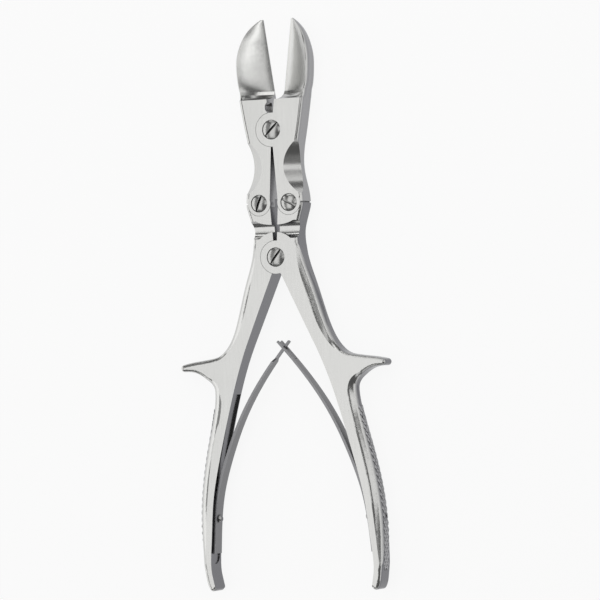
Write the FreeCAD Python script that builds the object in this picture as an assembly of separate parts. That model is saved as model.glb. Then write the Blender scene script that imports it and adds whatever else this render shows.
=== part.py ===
import FreeCAD, Part
import math
import os

# Bone cutting forceps with a double lever: two jaws and two handles in a four-bar kite of lap joints.
# Millimetres. The tool lies on its back: X to the right, Y towards the tips, Z up through the front.
# Sections are drawn for the right half, in a frame whose origin is the handle screw, and mirrored.

# Joints
DEPTH = 11.5                # thickness of the joint plates, front face to rear face
JAW_JOINT_Y = 60.0          # jaw screw above the handle screw
SIDE_JOINT_X = 7.65         # side screws from the centre line, forceps open
SIDE_JOINT_Y = 25.5         # side screws above the handle screw
OPEN_HALF_ANGLE = 7.7       # degrees between each cutting edge and the centre line, forceps open
JAW_DISC_R = 8.0            # round plate of the lap joint at the jaw screw
HANDLE_DISC_R = 7.8         # the same at the handle screw
SIDE_DISC_R = 5.8           # the same at the side screws
LAP_FLAT_GAP = 0.08         # running gap between the two layers of a lap joint
LAP_ROUND_GAP = 0.15        # running gap round a disc in its pocket
PARTING_GAP = 0.7           # open shoulder between jaw tail and handle head
EDGE_GAP = 0.05             # each cutting edge from the centre line, forceps closed

# Jaws
BLADE_TOP_Y = 113.2         # tip of the blade above the handle screw
BLADE_LENGTH = 38.8         # tip to shoulder
EDGE_LAND = 0.4             # thickness left at the cutting edge
EDGE_SLOPE = 0.45           # slope of the hollow at the edge, as a share of its mean slope
BLADE_BACK_R = 1.5          # rounding between the blade's flat back and its outer wall
RIM_LAND = 1.0              # width of the rim, rounded from the hollow's edge over to the outer wall
COVE_HEIGHT = 4.2           # hollow's end, from shoulder to the full hollow
SLIT_HALF_TOP = 0.5         # half of the slit between the jaws, just under the jaw joint
SLIT_HALF_MID = 2.1         # half of the slit at the side screws
JAW_ROUNDING = 1.9          # rounding of the jaws' outer edges
SCALLOP_R = 18.5            # thumb cut on the outer front corner of each jaw
SCALLOP_Y = 42.6            # its middle above the handle screw
SCALLOP_TILT = 43.0         # degrees, its slope from the front face
SCALLOP_NECK = 5.6          # what the cut leaves of the front face, from the centre line

# Handles
SLIT_HALF_LOW = 0.95        # half of the slit between the handles, above the handle joint
HANDLE_ROUNDING = 1.6       # rounding of the handles' outer edges
SPUR_TIP_R = 1.65           # end of the finger rest
GRIP_LEAN = 0.022           # slope of both handles to the right of the centre line, as they were bent by hand
LEAN_START_Y = -20.0        # height where they start to lean
GRIP_END_R = 1.85           # round end of the grip
GRIP_END_Y = 156.8          # its lowest point under the handle screw
GROOVE_DEPTH = 3.1          # groove across the handle heads, round-bottomed
GROOVE_R = 4.4
GROOVE_Y = 12.9             # its deepest line above the handle screw
GROOVE_TOP = ((-1.0, 15.4), (8.0, 16.4), (17.0, 23.4))      # edge of the side screw's plate above it
HANDLE_PAD_R = 11.8         # round top of the plate at the handle screw
BACK_R = 4.7                # rounding along the outer side of shank and grip
BACK_CREASE = 8.0           # degrees between the front face and the round back where they meet
CHANNEL_DEPTH = 1.0         # hollow along the inner side of the grip
CHANNEL_WIDTH = 8.4
CHANNEL_TOP_Y = -64.0
CHANNEL_END_Y = -144.0

# Screws: head radius, shank radius
JAW_SCREW = (4.6, 2.7)
HANDLE_SCREW = (4.5, 2.7)
SIDE_SCREW = (4.1, 2.3)
HEAD_SINK = 0.3             # rim of a head below the front face
HEAD_DOME = 1.15            # crown of a head above its rim
HEAD_CONE = 2.0             # height of the countersink
SLOT_WIDTH = 1.15
SLOT_DEPTH = 1.7
THREAD_GAP = 0.02           # screw in the plate that it is screwed into
TURN_GAP = 0.06             # screw in the plate that turns on it
OPEN_PIVOT_GAP = 0.10       # the same at the right side screw, where the linkage closes

# Leaf springs
LEAF_FOOT_THICK = 1.6
LEAF_TIP_THICK = 1.0
LEAF_FOOT_WIDTH = 7.2
LEAF_TIP_WIDTH = 5.4
TONGUE_WIDTH = 2.0
FORK_SLOT_WIDTH = 2.8
FORK_SLOT_LENGTH = 9.5
SPRING_SCREW_Y = -122.6
SPRING_SCREW_R = 1.1
SPRING_HEAD_R = 1.95
SPRING_HEAD_H = 1.3
SPRING_HOLE_GAP = 0.25      # round the shank, so that the leaf can bend
SPRING_SCREW_END = 46.7     # from the centre line, flush with the cross cut
SPRING_HEAD_GAP = 0.45      # under the head, at the leaf's middle, because the leaf slopes there

MID = DEPTH / 2
FAR = 400.0                 # reach of cutting tools past the part


def point(x, y, z=0.0):
    return FreeCAD.Vector(x, y, z)


def heading(degrees):
    angle = math.radians(degrees)
    return point(math.cos(angle), math.sin(angle))


def spline(points, start=None, end=None):
    curve = Part.BSplineCurve()
    if start is None:
        curve.interpolate(Points=points)
    else:
        curve.interpolate(Points=points, InitialTangent=start, FinalTangent=end)
    return curve.toShape()


class Outline:
    """A closed outline in the plane of the forceps, drawn like a turtle's path, tangent where curves meet."""

    def __init__(self, x, y, direction, lean=0.0):
        self.lean = lean
        self.start = point(x, y)
        self.here = self.start
        self.direction = direction
        self.edges = []
        self.walls = []

    def leaned(self, x, y):
        return point(x + self.lean * max(0.0, LEAN_START_Y - y), y)

    def leaned_heading(self, y, direction):
        run = heading(direction)
        slope = self.lean if y < LEAN_START_Y else 0.0
        return math.degrees(math.atan2(run.y, run.x - slope * run.y))

    def add(self, edge, end, direction, rounded):
        self.edges.append(edge)
        if rounded:
            self.walls.append(edge)
        self.here = end
        self.direction = direction

    def curve(self, places, direction, rounded=True):
        points = [self.here] + [self.leaned(x, y) for x, y in places]
        final = self.leaned_heading(places[-1][1], direction)
        edge = spline(points, heading(self.direction), heading(final))
        self.add(edge, points[-1], final, rounded)

    def turn(self, radius, angle, rounded=True):
        side = math.copysign(90.0, angle)
        centre = self.here + heading(self.direction + side) * radius
        half = centre + heading(self.direction - side + angle / 2) * radius
        end = centre + heading(self.direction - side + angle) * radius
        self.add(Part.Arc(self.here, half, end).toShape(), end, self.direction + angle, rounded)

    def line(self, x, y):
        end = self.leaned(x, y)
        run = end - self.here
        direction = math.degrees(math.atan2(run.y, run.x))
        self.add(Part.LineSegment(self.here, end).toShape(), end, direction, False)

    def close(self):
        self.line(self.start.x, self.start.y)

    def solid(self, low=0.0, high=DEPTH):
        face = Part.Face(Part.Wire(self.edges))
        face.translate(point(0, 0, low))
        return face.extrude(point(0, 0, high - low))

    def wall_edges(self, shape):
        """Front and rear edges of the shape along the walls that are to be rounded."""
        found = []
        for edge in shape.Edges:
            middle = edge.valueAt((edge.FirstParameter + edge.LastParameter) / 2)
            first = edge.valueAt(edge.FirstParameter)
            last = edge.valueAt(edge.LastParameter)
            if math.hypot(first.x - last.x, first.y - last.y) < 0.05:
                continue
            spot = Part.Vertex(middle.x, middle.y, 0)
            if min(wall.distToShape(spot)[0] for wall in self.walls) < 0.02:
                found.append(edge)
        return found


def disc(x, y, radius, low, high):
    return Part.makeCylinder(radius, high - low, point(x, y, low))


def lap(shape, x, y, radius, in_front):
    """One half of a lap joint: a disc in one layer, and a pocket for the other disc in the other layer."""
    front = (MID + LAP_FLAT_GAP / 2, DEPTH)
    rear = (0, MID - LAP_FLAT_GAP / 2)
    own = front if in_front else rear
    pocket = (-1, MID + LAP_FLAT_GAP / 2) if in_front else (MID - LAP_FLAT_GAP / 2, DEPTH + 1)
    shape = shape.fuse(disc(x, y, radius, *own))
    return shape.cut(disc(x, y, radius + LAP_ROUND_GAP, *pocket))


def mirrored(shape):
    return shape.mirror(point(0, 0, 0), point(1, 0, 0))


def one_solid(shape):
    return max(shape.removeSplitter().Solids, key=lambda solid: solid.Volume)


# Screws

def screw_profile(head_r, shank_r, crown, top, grow=0.0, bottom=0.1):
    """Half section of a countersunk screw, or of its hole where it is grown."""
    rim = DEPTH - HEAD_SINK
    outer = head_r + grow
    shank = shank_r + grow
    start = point(0, 0, bottom)
    edges = [Part.LineSegment(start, point(shank, 0, bottom)).toShape()]
    edges.append(Part.LineSegment(point(shank, 0, bottom), point(shank, 0, rim - HEAD_CONE)).toShape())
    edges.append(Part.LineSegment(point(shank, 0, rim - HEAD_CONE), point(outer, 0, rim)).toShape())
    if crown:
        half = point(outer * 0.52, 0, rim + crown * 0.73)
        edges.append(Part.Arc(point(outer, 0, rim), half, point(0, 0, rim + crown)).toShape())
        edges.append(Part.LineSegment(point(0, 0, rim + crown), start).toShape())
    else:
        edges.append(Part.LineSegment(point(outer, 0, rim), point(outer, 0, top)).toShape())
        edges.append(Part.LineSegment(point(outer, 0, top), point(0, 0, top)).toShape())
        edges.append(Part.LineSegment(point(0, 0, top), start).toShape())
    return Part.Face(Part.Wire(edges))


def joint_screw(sizes, x, y, slot_angle):
    head_r, shank_r = sizes
    body = screw_profile(head_r, shank_r, HEAD_DOME, DEPTH).revolve(point(0, 0, 0), point(0, 0, 1), 360)
    floor = DEPTH - HEAD_SINK + HEAD_DOME - SLOT_DEPTH
    slot = Part.makeBox(2 * head_r + 2, SLOT_WIDTH, SLOT_DEPTH + 1, point(-head_r - 1, -SLOT_WIDTH / 2, floor))
    slot.rotate(point(0, 0, 0), point(0, 0, 1), slot_angle)
    shape = body.cut(slot)
    shape.translate(point(x, y))
    return one_solid(shape)


def front_hole(sizes, x, y, gap):
    """Countersunk hole through the plate that the head sits in."""
    hole = screw_profile(*sizes, 0.0, DEPTH + 1, gap, MID - 1).revolve(point(0, 0, 0), point(0, 0, 1), 360)
    hole.translate(point(x, y))
    return hole


def rear_hole(sizes, x, y, gap):
    return disc(x, y, sizes[1] + gap, -1, MID + 1)


# Jaws

# Blade sections from the tip down: distance from the tip, width from the cutting edge, height of the rim
BLADE_SECTIONS = (
    (0.4, 1.1, 0.9),
    (1.8, 3.25, 2.2),
    (4.5, 6.5, 4.3),
    (8.2, 9.5, 6.1),
    (12.6, 11.8, 7.6),
    (17.2, 13.5, 8.6),
    (22.2, 14.5, 9.1),
    (29.0, 15.0, 9.3),
)
SHOULDER_WIDTH = 14.6       # blade at the shoulder, from the cutting edge
SHOULDER_RIM = 9.6          # rim of the hollow there


def edge_x(y):
    """Distance from the centre line to the cutting edge, on a line through the jaw screw's axis."""
    return EDGE_GAP + (y - JAW_JOINT_Y) * math.tan(math.radians(OPEN_HALF_ANGLE))


def blade_section(drop, width, rim, raised):
    """Wire across the blade. raised lifts the hollow: 0 is full hollow, 1 is the solid front face."""
    y = BLADE_TOP_Y - drop
    inner = edge_x(y)
    outer = inner + width
    back = min(BLADE_BACK_R, 0.3 * rim)
    land = min(RIM_LAND, 0.2 * rim)
    edge_z = EDGE_LAND + (DEPTH - EDGE_LAND) * raised
    rim_z = rim + (DEPTH - rim) * raised
    curve = []
    for step in range(5):
        share = step / 4
        depth = EDGE_SLOPE * share + (1 - EDGE_SLOPE) * share ** 2
        hollow = EDGE_LAND + (rim - EDGE_LAND) * depth
        curve.append(point(inner + (width - land) * share, y, hollow + (DEPTH - hollow) * raised))
    wall = [point(outer - back, y, 0), point(outer, y, 0.45 * rim_z), point(outer - land, y, rim_z)]
    edges = [
        Part.LineSegment(point(inner, y, 0), wall[0]).toShape(),
        spline(wall, point(1, 0, 0.15), point(-0.8, 0, 0.6)),
        spline(list(reversed(curve))),
        Part.LineSegment(point(inner, y, edge_z), point(inner, y, 0)).toShape(),
    ]
    return Part.Wire(edges)


def hollow_blade():
    """The cove above the shoulder, then the blade up to its tip."""
    root = BLADE_LENGTH - COVE_HEIGHT
    sections = [blade_section(*size, 0.0) for size in BLADE_SECTIONS]
    sections.append(blade_section(root, SHOULDER_WIDTH, SHOULDER_RIM, 0.0))
    blade = Part.makeLoft(sections, True, False)
    cove = []
    for step in range(5):
        angle = math.radians(90.0 * step / 4)
        drop = root + COVE_HEIGHT * math.sin(angle)
        cove.append(blade_section(drop, SHOULDER_WIDTH, SHOULDER_RIM, 1 - math.cos(angle)))
    return Part.makeLoft(cove, True, True), blade


# Outer side of the jaw's joint plate, from the tail upwards
JAW_FOOT_X = 14.7
JAW_NECK = ((14.3, 30.2), (12.7, 37.6), (12.0, 45.0), (12.7, 52.0), (14.4, 61.0), (15.6, 68.0))


def jaw_body():
    """Joint plate and tail of the right jaw, from the shoulder down to the side screw."""
    shoulder_y = BLADE_TOP_Y - BLADE_LENGTH
    foot_y = SIDE_JOINT_Y + PARTING_GAP / 2
    shoulder_x = edge_x(shoulder_y) + SHOULDER_WIDTH
    outline = Outline(JAW_FOOT_X, foot_y, 92)
    outline.curve(JAW_NECK + ((shoulder_x, shoulder_y),), 82)
    outline.line(edge_x(shoulder_y), shoulder_y)
    outline.line(EDGE_GAP, JAW_JOINT_Y)
    outline.line(SLIT_HALF_TOP, JAW_JOINT_Y - JAW_DISC_R)
    outline.line(SLIT_HALF_MID, foot_y)
    outline.close()
    body = outline.solid()
    return body.makeFillet(JAW_ROUNDING, outline.wall_edges(body))


def scallop():
    """Cylinder that cuts the hollow on the outer front corner, square to the forceps' length."""
    tilt = math.radians(SCALLOP_TILT)
    outward = point(math.sin(tilt), 0, math.cos(tilt))
    along = point(math.cos(tilt), 0, -math.sin(tilt))
    deepest = point(SCALLOP_NECK, SCALLOP_Y, DEPTH)
    base = deepest + outward * SCALLOP_R - along * 40
    return Part.makeCylinder(SCALLOP_R, 90, base, along)


def jaw(right):
    shape = jaw_body()
    for piece in hollow_blade():
        shape = shape.fuse(piece)
    shape = shape.cut(scallop())
    shape = lap(shape, 0, JAW_JOINT_Y, JAW_DISC_R, right)
    shape = lap(shape, SIDE_JOINT_X, SIDE_JOINT_Y, SIDE_DISC_R, True)
    if right:
        shape = shape.cut(front_hole(JAW_SCREW, 0, JAW_JOINT_Y, TURN_GAP))
        shape = shape.cut(front_hole(SIDE_SCREW, SIDE_JOINT_X, SIDE_JOINT_Y, OPEN_PIVOT_GAP))
    else:
        shape = shape.cut(rear_hole(JAW_SCREW, 0, JAW_JOINT_Y, THREAD_GAP))
        shape = shape.cut(front_hole(SIDE_SCREW, SIDE_JOINT_X, SIDE_JOINT_Y, TURN_GAP))
        shape = shape.cut(throat_notch())
    shape = one_solid(shape)
    return shape if right else mirrored(shape)


def throat_notch():
    """Relief in the front layer of the left jaw, above the joint disc."""
    corners = ((0, 66.5), (1.9, 68.0), (2.9, 69.6), (2.9, 71.4), (2.0, 72.9), (0, 73.2))
    points = [point(x, y, MID) for x, y in corners]
    face = Part.Face(Part.makePolygon(points + points[:1]))
    return face.extrude(point(0, 0, DEPTH))


# Handles

# Side view of a handle: height above the handle screw, depth front to rear
HANDLE_DEPTHS = ((30.0, 11.5), (-8.0, 11.5), (-34.0, 10.4), (-60.0, 9.2), (-86.0, 10.2), (-112.0, 11.2), (-160.0, 11.2))


def side_view():
    """Slab between the front and rear outlines of a handle seen from the side."""
    down = point(0, -1, 0)
    front = [point(-FAR / 8, y, MID + depth / 2) for y, depth in HANDLE_DEPTHS]
    rear = [point(-FAR / 8, y, MID - depth / 2) for y, depth in reversed(HANDLE_DEPTHS)]
    edges = [
        spline(front, down, down),
        Part.LineSegment(front[-1], rear[0]).toShape(),
        spline(rear, down * -1, down * -1),
        Part.LineSegment(rear[-1], front[0]).toShape(),
    ]
    return Part.Face(Part.Wire(edges)).extrude(point(FAR / 2, 0, 0))


# Outer side of a handle from its head down to the end of the grip, and its inner side up again
HEAD_X = 14.65
HEAD_SIDE = ((13.9, 21.4), (12.3, 16.2), (11.35, 9.5))
SHANK_SIDE = ((13.4, -1.0), (17.3, -11.7), (22.9, -29.7), (25.7, -37.4))
SPUR_ROOT = ((28.9, -42.9), (35.0, -46.6))
SPUR_TOP = ((51.6, -49.3),)
SPUR_UNDER = ((45.4, -53.2), (38.9, -57.3), (36.8, -63.9))
GRIP_BACK = ((39.6, -80.1), (43.9, -99.1), (46.7, -120.0), (46.7, -134.0), (44.8, -151.9))
GRIP_SHOULDER_R = 12.0
INNER_END = (41.4, -149.5)
CHANNEL_PAST_END = (41.6, -160.0)
CROTCH_Y = -4.8
INNER_GRIP = ((40.9, -134.0), (38.8, -114.0), (34.6, -95.0), (26.0, -64.0), (17.2, -40.5))


def handle_outline(lean):
    head_y = SIDE_JOINT_Y - PARTING_GAP / 2
    outline = Outline(HEAD_X, head_y, -91, lean)
    outline.curve(HEAD_SIDE, -89)
    outline.curve(SHANK_SIDE, -64)
    outline.curve(SPUR_ROOT, -12)
    outline.curve(SPUR_TOP, -16)
    outline.turn(SPUR_TIP_R, -165)
    outline.curve(SPUR_UNDER, -87)
    outline.curve(GRIP_BACK, -99)
    outline.turn(GRIP_SHOULDER_R, -20)
    outline.turn(GRIP_END_R, -125)
    outline.line(*INNER_END)
    outline.curve(INNER_GRIP, 114.5, False)
    outline.line(SLIT_HALF_LOW, CROTCH_Y)
    outline.line(SLIT_HALF_LOW, HANDLE_DISC_R)
    outline.line(SLIT_HALF_MID, head_y)
    outline.close()
    return outline


def head_groove():
    """Round-bottomed groove across the handle head, from the side screw's plate to the round handle plate."""
    upper = [point(x, y) for x, y in GROOVE_TOP]
    edges = [
        spline(upper),
        Part.LineSegment(upper[-1], point(GROOVE_TOP[-1][0], 0)).toShape(),
        Part.LineSegment(point(GROOVE_TOP[-1][0], 0), point(GROOVE_TOP[0][0], 0)).toShape(),
        Part.LineSegment(point(GROOVE_TOP[0][0], 0), upper[0]).toShape(),
    ]
    reach = Part.Face(Part.Wire(edges)).extrude(point(0, 0, 2 * DEPTH))
    reach = reach.cut(disc(0, 0, HANDLE_PAD_R, -1, 3 * DEPTH))
    centre = point(GROOVE_TOP[0][0] - 1, GROOVE_Y, DEPTH - GROOVE_DEPTH + GROOVE_R)
    round_bottom = Part.makeCylinder(GROOVE_R, GROOVE_TOP[-1][0] * 2, centre, point(1, 0, 0))
    return round_bottom.common(reach)


# Where the outer side is round: places of the outline, and how far the rounding stands off the corner there
SHANK_BACK = ((11.35, 9.5, 1.6), (12.1, 4.0, 0.9), (13.0, -1.0, 0.4), (16.4, -12.0, 0.0), (22.0, -30.0, 0.0),
              (24.9, -37.8, 0.3), (28.6, -43.2, 0.9), (33.0, -46.2, 1.6))
BACK_OF_GRIP = ((43.0, -54.3, 1.6), (38.6, -56.9, 0.8), (36.5, -60.5, 0.2), (36.0, -63.8, 0.0),
                (38.7, -80.0, 0.0), (43.0, -99.0, 0.0), (45.9, -120.0, 0.0), (46.3, -134.0, 0.3),
                (45.9, -143.0, 0.9), (45.2, -150.0, 1.6))


def rounded_corner(outline, slab, places):
    """Solid that takes the front corner off along the outline, so that the outer side is round."""
    wires = []
    spots = [outline.leaned(x, y) for x, y, lift in places]
    for index, spot in enumerate(spots):
        run = spots[min(index + 1, len(spots) - 1)] - spots[max(index - 1, 0)]
        wall = min(outline.walls, key=lambda edge: edge.distToShape(Part.Vertex(spot))[0])
        near = wall.distToShape(Part.Vertex(spot))[1][0][0]
        outward = point(-run.y, run.x).normalize()
        top = 2 * DEPTH - slab.distToShape(Part.Vertex(near.x, near.y, 2 * DEPTH))[0]
        shift = places[index][2] * math.sqrt(0.5) - BACK_R * math.cos(math.radians(BACK_CREASE))
        centre = point(near.x, near.y, top + shift) + outward * shift
        half = centre + (outward + point(0, 0, 1)) * (BACK_R * math.sqrt(0.5))
        first = centre + point(0, 0, BACK_R)
        last = centre + outward * BACK_R
        corner = centre + (outward + point(0, 0, 1)) * (1.3 * BACK_R)
        beside = corner - point(0, 0, 1.3 * BACK_R)
        above = corner - outward * (1.3 * BACK_R)
        wires.append(Part.Wire([
            Part.Arc(first, half, last).toShape(),
            Part.LineSegment(last, beside).toShape(),
            Part.LineSegment(beside, corner).toShape(),
            Part.LineSegment(corner, above).toShape(),
            Part.LineSegment(above, first).toShape(),
        ]))
    return Part.makeLoft(wires, True, False)


def channel(outline):
    """Shallow hollow along the inner side of the grip, with a round end."""
    deep = [outline.leaned(x + CHANNEL_DEPTH, y) for x, y in (CHANNEL_PAST_END, INNER_END) + INNER_GRIP]
    floor = spline(deep)
    start = deep[0]
    corner = point(-5, deep[-1].y)
    edges = [
        floor,
        Part.LineSegment(deep[-1], corner).toShape(),
        Part.LineSegment(corner, point(-5, start.y)).toShape(),
        Part.LineSegment(point(-5, start.y), start).toShape(),
    ]
    inside = Part.Face(Part.Wire(edges)).extrude(point(0, 0, DEPTH))
    half = CHANNEL_WIDTH / 2
    slot = Part.makeBox(60, CHANNEL_TOP_Y - CHANNEL_END_Y - half, CHANNEL_WIDTH, point(0, CHANNEL_END_Y + half, MID - half))
    slot = slot.fuse(Part.makeCylinder(half, 60, point(0, CHANNEL_END_Y + half, MID), point(1, 0, 0)))
    return inside.common(slot)


def handle(right):
    outline = handle_outline(GRIP_LEAN if right else -GRIP_LEAN)
    base = outline.solid().common(side_view()).Solids[0]
    shape = base.makeFillet(HANDLE_ROUNDING, outline.wall_edges(base))
    for places in (SHANK_BACK, BACK_OF_GRIP):
        corner = rounded_corner(outline, side_view(), places)
        shape = shape.cut(corner)
        shape = shape.cut(corner.mirror(point(0, 0, MID), point(0, 0, 1)))
    shape = shape.cut(channel(outline))
    shape = lap(shape, 0, 0, HANDLE_DISC_R, right)
    shape = lap(shape, SIDE_JOINT_X, SIDE_JOINT_Y, SIDE_DISC_R, False)
    shape = shape.cut(head_groove())
    if right:
        shape = shape.cut(front_hole(HANDLE_SCREW, 0, 0, TURN_GAP))
    else:
        shape = shape.cut(rear_hole(HANDLE_SCREW, 0, 0, THREAD_GAP))
    shape = shape.cut(rear_hole(SIDE_SCREW, SIDE_JOINT_X, SIDE_JOINT_Y, THREAD_GAP))
    hole = Part.makeCylinder(SPRING_SCREW_R + THREAD_GAP, 40, point(30, SPRING_SCREW_Y, MID), point(1, 0, 0))
    shape = one_solid(shape.cut(hole))
    return shape if right else mirrored(shape)


# Leaf springs

LEAF_LINE = ((41.0, -139.0), (40.6, -134.0), (39.5, -122.6), (37.9, -113.0), (30.7, -91.0), (24.9, -78.0),
             (14.7, -61.0), (4.7, -48.0), (-2.6, -39.6))


def grip_lean(right):
    """How far the spring screw's place leans with its grip."""
    lean = GRIP_LEAN if right else -GRIP_LEAN
    return lean * (LEAN_START_Y - SPRING_SCREW_Y)


def leaf_blank(right):
    """Strip of tapering thickness, drawn along the leaf's centre line and extruded through the depth."""
    lean = GRIP_LEAN if right else -GRIP_LEAN
    line = spline([point(x + lean * (LEAN_START_Y - y), y) for x, y in LEAF_LINE])
    curve = line.Curve
    count = 12
    left = []
    right = []
    for step in range(count + 1):
        share = step / count
        place = line.getParameterByLength(line.Length * share)
        tangent = curve.tangent(place)[0]
        normal = point(-tangent.y, tangent.x)
        half = (LEAF_FOOT_THICK + (LEAF_TIP_THICK - LEAF_FOOT_THICK) * share) / 2
        left.append(curve.value(place) + normal * half)
        right.append(curve.value(place) - normal * half)
    edges = [
        spline(left),
        Part.LineSegment(left[-1], right[-1]).toShape(),
        spline(list(reversed(right))),
        Part.LineSegment(right[0], left[0]).toShape(),
    ]
    return Part.Face(Part.Wire(edges)).extrude(point(0, 0, DEPTH))


def leaf(forked):
    foot_y = LEAF_LINE[0][1]
    tip_y = LEAF_LINE[-1][1]
    foot = LEAF_FOOT_WIDTH / 2
    tip = LEAF_TIP_WIDTH / 2
    widths = [(foot_y - 1, foot), (SPRING_SCREW_Y, foot), (tip_y - FORK_SLOT_LENGTH, tip), (tip_y + 1, tip)]
    if not forked:
        shoulder_y = tip_y - FORK_SLOT_LENGTH
        widths = widths[:3] + [(shoulder_y + 1.5, TONGUE_WIDTH / 2), (tip_y + 1, TONGUE_WIDTH / 2)]
    front = [point(-20, y, MID + half) for y, half in widths]
    rear = [point(-20, y, MID - half) for y, half in reversed(widths)]
    face = Part.Face(Part.makePolygon(front + rear + front[:1]))
    shape = leaf_blank(forked).common(face.extrude(point(80, 0, 0)))
    if forked:
        slot = Part.makeBox(40, FORK_SLOT_LENGTH, FORK_SLOT_WIDTH,
                            point(-20, tip_y - FORK_SLOT_LENGTH + 1, MID - FORK_SLOT_WIDTH / 2))
        shape = shape.cut(slot)
    hole_r = SPRING_SCREW_R + SPRING_HOLE_GAP
    shape = shape.cut(Part.makeCylinder(hole_r, 20, point(30, SPRING_SCREW_Y, MID), point(1, 0, 0)))
    shape = one_solid(shape)
    return shape if forked else mirrored(shape)


def spring_screw(right):
    """Dome-headed screw through the leaf's foot and the grip, along X."""
    head_x = 39.5 + grip_lean(right) - LEAF_FOOT_THICK / 2 - SPRING_HEAD_GAP
    end_x = SPRING_SCREW_END + grip_lean(right)
    base = point(head_x, SPRING_SCREW_Y, MID)
    shank = Part.makeCylinder(SPRING_SCREW_R, end_x - head_x, base, point(1, 0, 0))
    ball_r = (SPRING_HEAD_R ** 2 + SPRING_HEAD_H ** 2) / (2 * SPRING_HEAD_H)
    centre = base + point(ball_r - SPRING_HEAD_H, 0, 0)
    dome = Part.makeSphere(ball_r, centre)
    dome = dome.common(Part.makeBox(20, 20, 20, base - point(20, 10, 10)))
    shape = one_solid(shank.fuse(dome))
    return shape if right else mirrored(shape)


# Parts

def build():
    parts = {
        "jaw_left": jaw(False),
        "jaw_right": jaw(True),
        "handle_left": handle(False),
        "handle_right": handle(True),
        "jaw_screw": joint_screw(JAW_SCREW, 0, JAW_JOINT_Y, 45),
        "handle_screw": joint_screw(HANDLE_SCREW, 0, 0, 52),
        "side_screw_left": joint_screw(SIDE_SCREW, -SIDE_JOINT_X, SIDE_JOINT_Y, 68),
        "side_screw_right": joint_screw(SIDE_SCREW, SIDE_JOINT_X, SIDE_JOINT_Y, -28),
        "spring_leaf_left": leaf(False),
        "spring_leaf_right": leaf(True),
        "spring_screw_left": spring_screw(False),
        "spring_screw_right": spring_screw(True),
    }
    middle_y = (BLADE_TOP_Y - GRIP_END_Y) / 2
    os.makedirs("parts", exist_ok=True)
    for name, shape in parts.items():
        shape.translate(point(0, -middle_y, 0))
        shape.exportStep("parts/" + name + ".step")


build()
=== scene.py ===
import math
import bmesh
import bpy
from mathutils import Matrix, Quaternion, Vector


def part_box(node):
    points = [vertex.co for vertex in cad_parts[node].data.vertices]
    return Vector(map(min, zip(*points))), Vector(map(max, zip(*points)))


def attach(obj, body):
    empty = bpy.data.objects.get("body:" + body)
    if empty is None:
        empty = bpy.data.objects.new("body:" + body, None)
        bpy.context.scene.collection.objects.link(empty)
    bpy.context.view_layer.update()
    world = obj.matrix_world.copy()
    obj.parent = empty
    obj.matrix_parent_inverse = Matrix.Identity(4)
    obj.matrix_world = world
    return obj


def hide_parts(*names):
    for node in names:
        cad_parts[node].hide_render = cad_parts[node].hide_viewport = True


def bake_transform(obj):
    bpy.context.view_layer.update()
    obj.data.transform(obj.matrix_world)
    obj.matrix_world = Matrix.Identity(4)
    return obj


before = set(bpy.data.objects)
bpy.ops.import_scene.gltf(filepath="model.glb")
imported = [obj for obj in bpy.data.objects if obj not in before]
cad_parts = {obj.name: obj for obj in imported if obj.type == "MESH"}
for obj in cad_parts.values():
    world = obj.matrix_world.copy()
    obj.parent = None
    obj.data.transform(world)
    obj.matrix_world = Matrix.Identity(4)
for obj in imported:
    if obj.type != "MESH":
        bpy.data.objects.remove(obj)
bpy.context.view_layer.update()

# The two jaws: forged stainless steel, hollow ground above the joint and polished by hand.
# They lap over each other at the jaw screw. The polish leaves faint lines along the blades,
# and the walls round the outside have a slightly rougher grind than the faces and are painted darker as
# shade.

MM = 0.001
# How upright a normal is where a face ends, and where a wall begins. Walls get painted shade and a rougher
# gloss.
FACE_UPRIGHT = 0.75
WALL_UPRIGHT = 0.25
# How large the slow changes in gloss are, and how strong.
CLOUD_SIZE = 22.2 * MM
GLOSS_CHANGE = 0.04
# How deep the polishing lines are, and the levels that they give the colour.
LINE_DEPTH = 0.04 * MM
DARK_LINE = 0.96
BRIGHT_LINE = 1.02
# Painted shade in crevices: how near other steel shuts a crevice, the shares of open air that count as shut
# and as open, and how dark the painted shade of a shut one is.
CREVICE_REACH = 3.0 * MM
CREVICE_SHUT = 0.1
CREVICE_OPEN = 0.65
CREVICE_SHADE_LEVEL = 0.15


def linear(code):
    """A colour written as sRGB hex, as the linear RGBA that a shader takes."""
    channels = [int(code[i:i + 2], 16) / 255 for i in (1, 3, 5)]
    return [c / 12.92 if c <= 0.04045 else ((c + 0.055) / 1.055) ** 2.4 for c in channels] + [1.0]


def add(tree, kind, settings=None, links=None, **sockets):
    """Adds one node, sets its properties and sockets, and links sockets by name or number."""
    made = tree.nodes.new(kind)
    for name, value in (settings or {}).items():
        setattr(made, name, value)
    for name, value in sockets.items():
        made.inputs[name.replace("_", " ")].default_value = value
    for name, source in (links or {}).items():
        tree.links.new(source, made.inputs[name])
    return made


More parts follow.
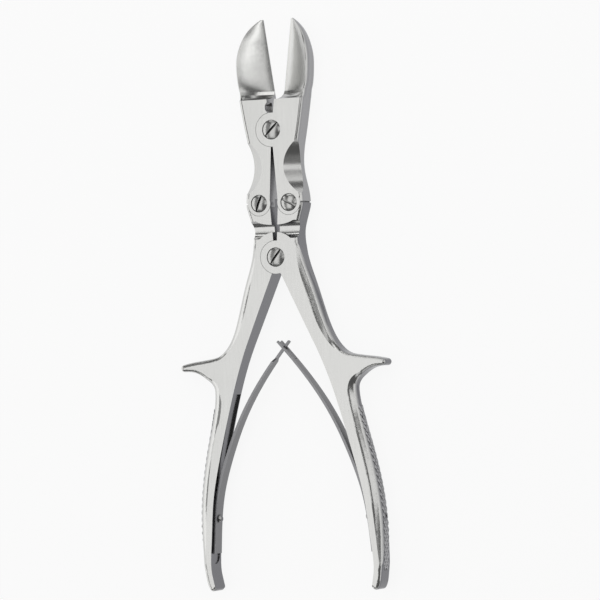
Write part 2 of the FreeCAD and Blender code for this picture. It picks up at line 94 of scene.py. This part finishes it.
def steel(name, face, wall, gloss, wall_gloss, line_mm, length_mm):
    """Steel with lines along the forceps: bright faces, walls painted darker as shade with a rougher grind,
    and painted shade in crevices.
    """
    material = bpy.data.materials.new(name)
    material.use_nodes = True
    tree = material.node_tree
    tree.nodes.clear()
    place = add(tree, "ShaderNodeTexCoord")
    scale = (1 / (line_mm * MM), 1 / (length_mm * MM), 1 / (line_mm * MM))
    stretch = add(tree, "ShaderNodeMapping", links={"Vector": place.outputs["Object"]}, Scale=scale)
    lines = add(tree, "ShaderNodeTexNoise", links={"Vector": stretch.outputs[0]},
                Scale=1.0, Detail=3.0, Roughness=0.6)
    cloud = add(tree, "ShaderNodeTexNoise", links={"Vector": place.outputs["Object"]},
                Scale=1 / CLOUD_SIZE, Detail=2.0)
    shape = add(tree, "ShaderNodeNewGeometry")
    facing = add(tree, "ShaderNodeSeparateXYZ", links={0: shape.outputs["Normal"]})
    upright = add(tree, "ShaderNodeMath", {"operation": "ABSOLUTE"}, {0: facing.outputs["Z"]})
    side = add(tree, "ShaderNodeMapRange", {"interpolation_type": "SMOOTHSTEP"},
               {"Value": upright.outputs[0]})
    side.inputs["From Min"].default_value = FACE_UPRIGHT
    side.inputs["From Max"].default_value = WALL_UPRIGHT
    # Painted shade: the wall colour darkens every surface that faces sideways, standing in for the shade on
    # the walls.
    painted_shade_tint = add(tree, "ShaderNodeMix", {"data_type": "RGBA"}, {0: side.outputs[0]})
    painted_shade_tint.inputs[6].default_value = linear(face)
    painted_shade_tint.inputs[7].default_value = linear(wall)
    streak = add(tree, "ShaderNodeMapRange", links={"Value": lines.outputs["Fac"]})
    streak.inputs["From Min"].default_value = 0.3
    streak.inputs["From Max"].default_value = 0.7
    streak.inputs["To Min"].default_value = DARK_LINE
    streak.inputs["To Max"].default_value = BRIGHT_LINE
    # Painted shade: crevices where other steel is near are darkened, and this multiplies the polishing lines'
    # levels.
    open_air = add(tree, "ShaderNodeAmbientOcclusion", {"samples": 8}, Distance=CREVICE_REACH)
    painted_crevice_shade = add(tree, "ShaderNodeMapRange", {"interpolation_type": "SMOOTHSTEP"},
                 {"Value": open_air.outputs["AO"]})
    painted_crevice_shade.inputs["From Min"].default_value = CREVICE_SHUT
    painted_crevice_shade.inputs["From Max"].default_value = CREVICE_OPEN
    painted_crevice_shade.inputs["To Min"].default_value = CREVICE_SHADE_LEVEL
    grain_and_shade = add(tree, "ShaderNodeMath", {"operation": "MULTIPLY"},
                {0: streak.outputs[0], 1: painted_crevice_shade.outputs[0]})
    colour = add(tree, "ShaderNodeVectorMath", {"operation": "SCALE"},
                 {0: painted_shade_tint.outputs[2], 3: grain_and_shade.outputs[0]})
    rough = add(tree, "ShaderNodeMapRange", links={"Value": cloud.outputs["Fac"]})
    rough.inputs["To Min"].default_value = gloss - GLOSS_CHANGE
    rough.inputs["To Max"].default_value = gloss + GLOSS_CHANGE
    coarse = add(tree, "ShaderNodeMapRange", links={"Value": side.outputs[0]})
    coarse.inputs["To Max"].default_value = wall_gloss - gloss
    total = add(tree, "ShaderNodeMath", {"operation": "ADD"}, {0: rough.outputs[0], 1: coarse.outputs[0]})
    bump = add(tree, "ShaderNodeBump", links={"Height": lines.outputs["Fac"]},
               Strength=0.12, Distance=LINE_DEPTH)
    shader = add(tree, "ShaderNodeBsdfPrincipled", links={
        "Base Color": colour.outputs[0], "Roughness": total.outputs[0], "Normal": bump.outputs[0]},
                 Metallic=1.0)
    add(tree, "ShaderNodeOutputMaterial", links={"Surface": shader.outputs[0]})
    return material


def dress(node, material):
    """Gives a CAD node its finish in place of the plain one that it was packed with."""
    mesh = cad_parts[node].data
    mesh.materials.clear()
    mesh.materials.append(material)


# Polished forged steel mirrors the studio in soft bands. Real polishing lines lie about 0.05 mm apart,
# too fine for the picture, so they are drawn 0.45 mm apart and 22 mm long.
# The wall colour is painted shade on the jaws' walls.
polished_blade = steel("polished_jaw_steel", face="#CECECC", wall="#969698", gloss=0.2, wall_gloss=0.24,
                       line_mm=0.45, length_mm=22.0)
for node in ("jaw_left", "jaw_right"):
    dress(node, polished_blade)

# The four slotted screws that the joints turn on: turned stainless steel, sunk in countersinks.
# Their crowns are turned on a lathe, which leaves fine rings, and then buffed bright.

# Turned and buffed steel gives bright crowns; the walls of the slots and rims are painted darker as shade.
# The rings are too fine to show, so an even grain of 0.5 mm, coarser than the real one, stands for them.
turned_screw = steel("turned_screw_steel", face="#BEBEBC", wall="#66666A", gloss=0.22, wall_gloss=0.3,
                     line_mm=0.5, length_mm=0.5)
for node in ("jaw_screw", "handle_screw", "side_screw_left", "side_screw_right"):
    dress(node, turned_screw)

# The two handles: forged stainless steel with a finger rest each, joined to the jaws and to each other
# by lap joints. Their outer side is ground round and the whole handle is then polished like the jaws.

# Polished steel again, a little glossier than the jaws, with walls painted darker as shade. The lines follow
# the long strokes of the belt and are drawn 0.5 mm apart, coarser than the real ones, and 30 mm long.
polished_handle = steel("polished_handle_steel", face="#CECECC", wall="#6E6E72", gloss=0.18, wall_gloss=0.22,
                        line_mm=0.5, length_mm=30.0)
for node in ("handle_left", "handle_right"):
    dress(node, polished_handle)

# The cross cut on the outer side of each grip: two sets of slanting grooves, milled into the steel,
# leave rows of low diamonds that keep a wet glove from slipping. The screw's end stays clear of them.

PITCH = 3.2 * MM
ROW = 2.0 * MM
DIAMOND_HEIGHT = 0.28 * MM
# Half widths of a diamond's top and foot, as shares of half a row and half a pitch.
DIAMOND_TOP = 0.62
DIAMOND_FOOT = 0.9
CLEAR_OF_SCREW = 1.9 * MM
# Heights on the grip: where the cut starts and stops, and where the spring screw ends.
CUT_TOP = -50.0 * MM
CUT_STOP = -123.5 * MM
SCREW_END = -100.8 * MM
LINE_STEPS = 48
MIDDLE = 5.75 * MM
# The grip's outer side is looked for from well outside it, a little in front of the middle.
OUTSIDE = 100.0 * MM
BESIDE_MIDDLE = 1.2 * MM

# Milled steel stays duller than the polish round it, so the diamonds catch the light as small grey blocks.
# The cutter's marks are drawn as a grain of 0.6 mm, coarser than the real ones.
# The darker wall colour is painted shade on the diamonds' sides.
cut_steel = steel("milled_grip_steel", face="#B0B0B2", wall="#9E9EA0", gloss=0.34, wall_gloss=0.36,
                  line_mm=0.6, length_mm=0.6)


def cross_cut_tree(material):
    """Geometry Nodes: diamonds down the grip, in rows that fill each other's gaps, laid on its round side."""
    tree = bpy.data.node_groups.new("cross_cut", "GeometryNodeTree")
    tree.interface.new_socket("Line", in_out="INPUT", socket_type="NodeSocketGeometry")
    tree.interface.new_socket("Grip", in_out="INPUT", socket_type="NodeSocketObject")
    for name in ("Pitch", "Row", "Height", "Clear"):
        tree.interface.new_socket(name, in_out="INPUT", socket_type="NodeSocketFloat")
    tree.interface.new_socket("Screw end", in_out="INPUT", socket_type="NodeSocketVector")
    tree.interface.new_socket("Diamonds", in_out="OUTPUT", socket_type="NodeSocketGeometry")
    given = add(tree, "NodeGroupInput")
    line = add(tree, "GeometryNodeMeshToCurve", links={"Mesh": given.outputs["Line"]})
    steps = add(tree, "GeometryNodeResampleCurve", {"mode": "LENGTH"},
                {"Curve": line.outputs[0], "Length": given.outputs["Pitch"]})
    down = add(tree, "GeometryNodeInputTangent")
    along = add(tree, "FunctionNodeAlignRotationToVector", {"axis": "Y"}, {"Vector": down.outputs[0]})
    half_row = add(tree, "ShaderNodeMath", {"operation": "MULTIPLY"}, {0: given.outputs["Row"]})
    half_row.inputs[1].default_value = 0.5
    half_pitch = add(tree, "ShaderNodeMath", {"operation": "MULTIPLY"}, {0: given.outputs["Pitch"]})
    half_pitch.inputs[1].default_value = 0.5
    low_row = add(tree, "ShaderNodeMath", {"operation": "MULTIPLY"}, {0: given.outputs["Row"]})
    low_row.inputs[1].default_value = -1.0
    next_row = add(tree, "ShaderNodeMath", {"operation": "MULTIPLY"}, {0: given.outputs["Row"]})
    next_row.inputs[1].default_value = -0.5
    step = add(tree, "ShaderNodeCombineXYZ", links={"Z": given.outputs["Row"]})
    first = add(tree, "ShaderNodeCombineXYZ", links={"Z": low_row.outputs[0]})
    second = add(tree, "ShaderNodeCombineXYZ", links={"Y": half_pitch.outputs[0], "Z": next_row.outputs[0]})
    three = add(tree, "GeometryNodeMeshLine", links={
        "Start Location": first.outputs[0], "Offset": step.outputs[0]}, Count=3)
    two = add(tree, "GeometryNodeMeshLine", links={
        "Start Location": second.outputs[0], "Offset": step.outputs[0]}, Count=2)
    cell = add(tree, "GeometryNodeJoinGeometry")
    tree.links.new(three.outputs[0], cell.inputs[0])
    tree.links.new(two.outputs[0], cell.inputs[0])
    dots = add(tree, "GeometryNodeMeshToPoints", links={"Mesh": cell.outputs[0]})
    placed = add(tree, "GeometryNodeInstanceOnPoints", links={
        "Points": steps.outputs[0], "Instance": dots.outputs[0], "Rotation": along.outputs[0]})
    spots = add(tree, "GeometryNodeRealizeInstances", links={"Geometry": placed.outputs[0]})
    here = add(tree, "GeometryNodeInputPosition")
    gap = add(tree, "ShaderNodeVectorMath", {"operation": "DISTANCE"},
              {0: here.outputs[0], 1: given.outputs["Screw end"]})
    near = add(tree, "FunctionNodeCompare", {"operation": "LESS_THAN"},
               {"A": gap.outputs["Value"], "B": given.outputs["Clear"]})
    cleared = add(tree, "GeometryNodeDeleteGeometry", {"domain": "POINT"},
                  {"Geometry": spots.outputs[0], "Selection": near.outputs[0]})
    grip = add(tree, "GeometryNodeObjectInfo", {"transform_space": "RELATIVE"},
               {"Object": given.outputs["Grip"]})
    surface = add(tree, "GeometryNodeProximity", links={"Geometry": grip.outputs["Geometry"]})
    laid = add(tree, "GeometryNodeSetPosition", links={
        "Geometry": cleared.outputs[0], "Position": surface.outputs["Position"]})
    normal = add(tree, "GeometryNodeInputNormal")
    out = add(tree, "GeometryNodeSampleNearestSurface", {"data_type": "FLOAT_VECTOR"},
              {"Mesh": grip.outputs["Geometry"], "Value": normal.outputs["Normal"]})
    length = add(tree, "ShaderNodeVectorMath", {"operation": "CROSS_PRODUCT"}, {1: out.outputs["Value"]})
    length.inputs[0].default_value = (0, 0, 1)
    facing = add(tree, "FunctionNodeAlignRotationToVector", {"axis": "Z"}, {"Vector": out.outputs["Value"]})
    turned = add(tree, "FunctionNodeAlignRotationToVector", {"axis": "Y", "pivot_axis": "Z"},
                 {"Rotation": facing.outputs[0], "Vector": length.outputs[0]})
    diamond = add(tree, "GeometryNodeMeshCone", links={"Depth": given.outputs["Height"]}, Vertices=4,
                  Radius_Top=DIAMOND_TOP, Radius_Bottom=DIAMOND_FOOT)
    size = add(tree, "ShaderNodeCombineXYZ", links={"X": half_row.outputs[0], "Y": half_pitch.outputs[0]},
               Z=1.0)
    scaled = add(tree, "GeometryNodeTransform", links={
        "Geometry": diamond.outputs[0], "Scale": size.outputs[0]})
    studs = add(tree, "GeometryNodeInstanceOnPoints", links={
        "Points": laid.outputs[0], "Instance": scaled.outputs[0], "Rotation": turned.outputs[0]})
    real = add(tree, "GeometryNodeRealizeInstances", links={"Geometry": studs.outputs[0]})
    painted = add(tree, "GeometryNodeSetMaterial", links={"Geometry": real.outputs[0]}, Material=material)
    add(tree, "NodeGroupOutput", links={"Diamonds": painted.outputs[0]})
    return tree


def make_plain(maker, name):
    """The result of a piece's modifiers as a plain mesh on a new object, and the maker is removed."""
    shown = maker.evaluated_get(bpy.context.evaluated_depsgraph_get())
    mesh = bpy.data.meshes.new_from_object(shown)
    piece = bpy.data.objects.new(name, mesh)
    bpy.context.collection.objects.link(piece)
    bpy.data.objects.remove(maker)
    return piece


cross_cut = cross_cut_tree(cut_steel)
for body, side in (("handle_left", -1), ("handle_right", 1)):
    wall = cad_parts[body]
    heights = [CUT_TOP + (CUT_STOP - CUT_TOP) * step / LINE_STEPS for step in range(LINE_STEPS + 1)]
    line = []
    for height in heights + [SCREW_END]:
        outside = Vector((side * OUTSIDE, height, MIDDLE + BESIDE_MIDDLE))
        found = wall.ray_cast(outside, Vector((-side, 0, 0)))
        line.append(Vector((found[1].x, height, MIDDLE)))
    screw_end = line.pop()
    mesh = bpy.data.meshes.new("line")
    mesh.from_pydata(line, [(i, i + 1) for i in range(len(line) - 1)], [])
    maker = bpy.data.objects.new("line", mesh)
    bpy.context.collection.objects.link(maker)
    modifier = maker.modifiers.new("cross_cut", "NODES")
    modifier.node_group = cross_cut
    sockets = {item.name: item.identifier for item in cross_cut.interface.items_tree}
    given_sizes = (("Pitch", PITCH), ("Row", ROW), ("Height", DIAMOND_HEIGHT), ("Clear", CLEAR_OF_SCREW))
    for name, value in given_sizes:
        modifier[sockets[name]] = value
    modifier[sockets["Screw end"]] = screw_end
    modifier[sockets["Grip"]] = wall
    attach(make_plain(maker, "cross_cut_" + body), body)

# The leaf springs: rolled spring steel, left matt grey, each held to its grip by one small screw.
# The foot sits in the grip's hollow; each leaf's mesh is cut into slices 3 mm apart along its length.

LEAF_STEP = 3.0 * MM
MERGE_GAP = 0.002 * MM
CUT_GAP = 0.001 * MM
SHARP_EDGE = math.radians(30.0)

# Rolled spring steel is matt and grey, and shows no clear mirror image. The rolling lines are drawn
# 0.4 mm apart, coarser than the real ones, and 12 mm long.
# The wall colour is painted shade on the leaf's edges.
matt_leaf = steel("matt_spring_steel", face="#98989A", wall="#7C7C7E", gloss=0.38, wall_gloss=0.42,
                  line_mm=0.4, length_mm=12.0)

for name, body, side in (("left", "handle_left", -1), ("right", "handle_right", 1)):
    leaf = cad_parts["spring_leaf_" + name]
    strip = bmesh.new()
    strip.from_mesh(leaf.data)
    bmesh.ops.remove_doubles(strip, verts=strip.verts, dist=MERGE_GAP)
    low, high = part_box("spring_leaf_" + name)
    height = low.y + LEAF_STEP
    while height < high.y:
        everything = strip.verts[:] + strip.edges[:] + strip.faces[:]
        bmesh.ops.bisect_plane(
            strip, geom=everything, plane_co=(0, height, 0), plane_no=(0, 1, 0), dist=CUT_GAP)
        height += LEAF_STEP
    for face in strip.faces:
        face.smooth = True
    for edge in strip.edges:
        edge.smooth = edge.calc_face_angle(0.0) < SHARP_EDGE
    mesh = bpy.data.meshes.new("bending_leaf_" + name)
    strip.to_mesh(mesh)
    strip.free()
    mesh.materials.append(matt_leaf)
    piece = bpy.data.objects.new("bending_leaf_" + name, mesh)
    bpy.context.collection.objects.link(piece)
    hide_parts("spring_leaf_" + name)
    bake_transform(piece)

for node in ("spring_screw_left", "spring_screw_right"):
    dress(node, turned_screw)

# The studio: a table covered with matt white card, and soft box lights all round the forceps.
# Polished steel shows only what it mirrors, so each light has its place in the mirror images:
# bright on the faces and hollows, with dark gaps between the lights that draw the edges.

TABLE_REACH = 6.0
TABLE_DROP = 0.2 * MM
WHITE_SHARE = 0.9
WORLD_STRENGTH = 0.2

table_mesh = bpy.data.meshes.new("table")
corners = [(-TABLE_REACH, -TABLE_REACH, 0), (TABLE_REACH, -TABLE_REACH, 0),
           (TABLE_REACH, TABLE_REACH, 0), (-TABLE_REACH, TABLE_REACH, 0)]
table_mesh.from_pydata(corners, [], [(0, 1, 2, 3)])
table = bpy.data.objects.new("table", table_mesh)
table.location.z = -TABLE_DROP
bpy.context.collection.objects.link(table)

# White card is matt and even. To the camera and in mirror images it shows as white, with the soft
# shadow of the forceps.
paper = bpy.data.materials.new("white_card")
paper.use_nodes = True
card = paper.node_tree
card.nodes.clear()
matt = add(card, "ShaderNodeBsdfDiffuse", Color=linear("#FAFAFA"))
glow = add(card, "ShaderNodeEmission", Color=linear("#FFFFFF"), Strength=1.0)
ray = add(card, "ShaderNodeLightPath")
direct = add(card, "ShaderNodeMath", {"operation": "ADD"},
             {0: ray.outputs["Is Camera Ray"], 1: ray.outputs["Is Glossy Ray"]})
passed = add(card, "ShaderNodeMath", {"operation": "ADD"},
             {0: direct.outputs[0], 1: ray.outputs["Is Transmission Ray"]})
seen = add(card, "ShaderNodeMath", {"operation": "MULTIPLY", "use_clamp": True}, {0: passed.outputs[0]})
seen.inputs[1].default_value = WHITE_SHARE
both = add(card, "ShaderNodeMixShader", links={0: seen.outputs[0], 1: matt.outputs[0], 2: glow.outputs[0]})
add(card, "ShaderNodeOutputMaterial", links={"Surface": both.outputs[0]})
table_mesh.materials.append(paper)

# The dim grey world is the unlit room, which keeps what no light reaches from turning black.
world = bpy.data.worlds.new("studio")
world.use_nodes = True
world.node_tree.nodes["Background"].inputs["Color"].default_value = linear("#C8C8C8")
world.node_tree.nodes["Background"].inputs["Strength"].default_value = WORLD_STRENGTH
bpy.context.scene.world = world


def soft_light(name, direction, distance, width, height, power, turn=0.0):
    """A soft light that faces the forceps from that direction, turned in its own plane by degrees."""
    lamp = bpy.data.lights.new(name, "AREA")
    lamp.shape = "RECTANGLE"
    lamp.size = width
    lamp.size_y = height
    lamp.energy = power
    place = bpy.data.objects.new(name, lamp)
    aim = Vector(direction).normalized()
    place.location = aim * distance
    place.rotation_mode = "QUATERNION"
    place.rotation_quaternion = aim.to_track_quat("Z", "Y") @ Quaternion((0, 0, 1), math.radians(turn))
    bpy.context.collection.objects.link(place)


# The broad light above fills the flat faces. It ends on the right in time to leave a dark line
# along the rounded right-hand edges.
soft_light("soft_light_above", (-0.25, 0.05, 1.0), distance=1.2, width=2.0, height=0.74, power=4.85)
# Two lights on the left fill the right blade's hollow and the left outer edges.
soft_light("soft_light_left_high", (-0.68, 0.0, 0.73), distance=1.6, width=2.0, height=0.45, power=0.6)
soft_light("soft_light_left", (-0.951, 0.0, 0.309), distance=1.8, width=2.4, height=1.16, power=10.4)
# The narrow light on the right draws a bright band down the round side of shank and grip.
soft_light("soft_light_right", (0.66, 0.112, 0.742), distance=1.3, width=0.36, height=1.1, power=1.2)
# A small light close to the blades fills the left blade's hollow.
soft_light("soft_light_blade", (0.215, 0.172, 0.3), distance=0.41, width=0.08, height=0.29, power=0.052,
           turn=-26.0)
# Three low lights reach the thumb cut, the grooves and the sides that turn away from the others.
soft_light("soft_light_right_low", (0.95, 0.2, 0.21), distance=2.0, width=2.8, height=0.84, power=6.9)
soft_light("soft_light_far", (0.0, 0.88, 0.5), distance=1.3, width=1.6, height=0.35, power=2.4)
soft_light("soft_light_near", (0.0, -0.94, 0.34), distance=1.6, width=1.1, height=0.5, power=1.2)

# The camera stands 2 m away with a long lens, 24 degrees to the right of square on, so that the walls
# on the right show. Its angles, scale and shift are fitted to the outline of the forceps in the photograph.

CAMERA_DISTANCE = 2.0
LENS_LENGTH = 254.7
FILM_WIDTH = 36.0
AIM_HEIGHT = -18.2 * MM
PIXELS_TO_A_MM = 2.1223
SHIFT_RIGHT_PIXELS = 16.42
SHIFT_UP_PIXELS = 42.02
yaw = math.radians(24.0)
tilt = math.radians(-0.88)
roll = math.radians(1.99)
turn_y = Matrix(((math.cos(yaw), 0, -math.sin(yaw)), (0, 1, 0), (math.sin(yaw), 0, math.cos(yaw))))
turn_x = Matrix(((1, 0, 0), (0, math.cos(tilt), -math.sin(tilt)), (0, math.sin(tilt), math.cos(tilt))))
turn_z = Matrix(((math.cos(roll), -math.sin(roll), 0), (math.sin(roll), math.cos(roll), 0), (0, 0, 1)))
view = (turn_z @ turn_x @ turn_y).transposed()
target = Vector((0, AIM_HEIGHT, MIDDLE))
camera_data = bpy.data.cameras.new("camera")
camera_data.sensor_width = FILM_WIDTH
camera_data.lens = LENS_LENGTH
camera = bpy.data.objects.new("camera", camera_data)
bpy.context.collection.objects.link(camera)
camera.rotation_mode = "QUATERNION"
camera.rotation_quaternion = view.to_quaternion()
shift_right = SHIFT_RIGHT_PIXELS / PIXELS_TO_A_MM * MM
shift_up = SHIFT_UP_PIXELS / PIXELS_TO_A_MM * MM
camera.location = target + view @ Vector((shift_right, shift_up, CAMERA_DISTANCE))
bpy.context.scene.camera = camera
bpy.context.scene.view_settings.view_transform = "Standard"
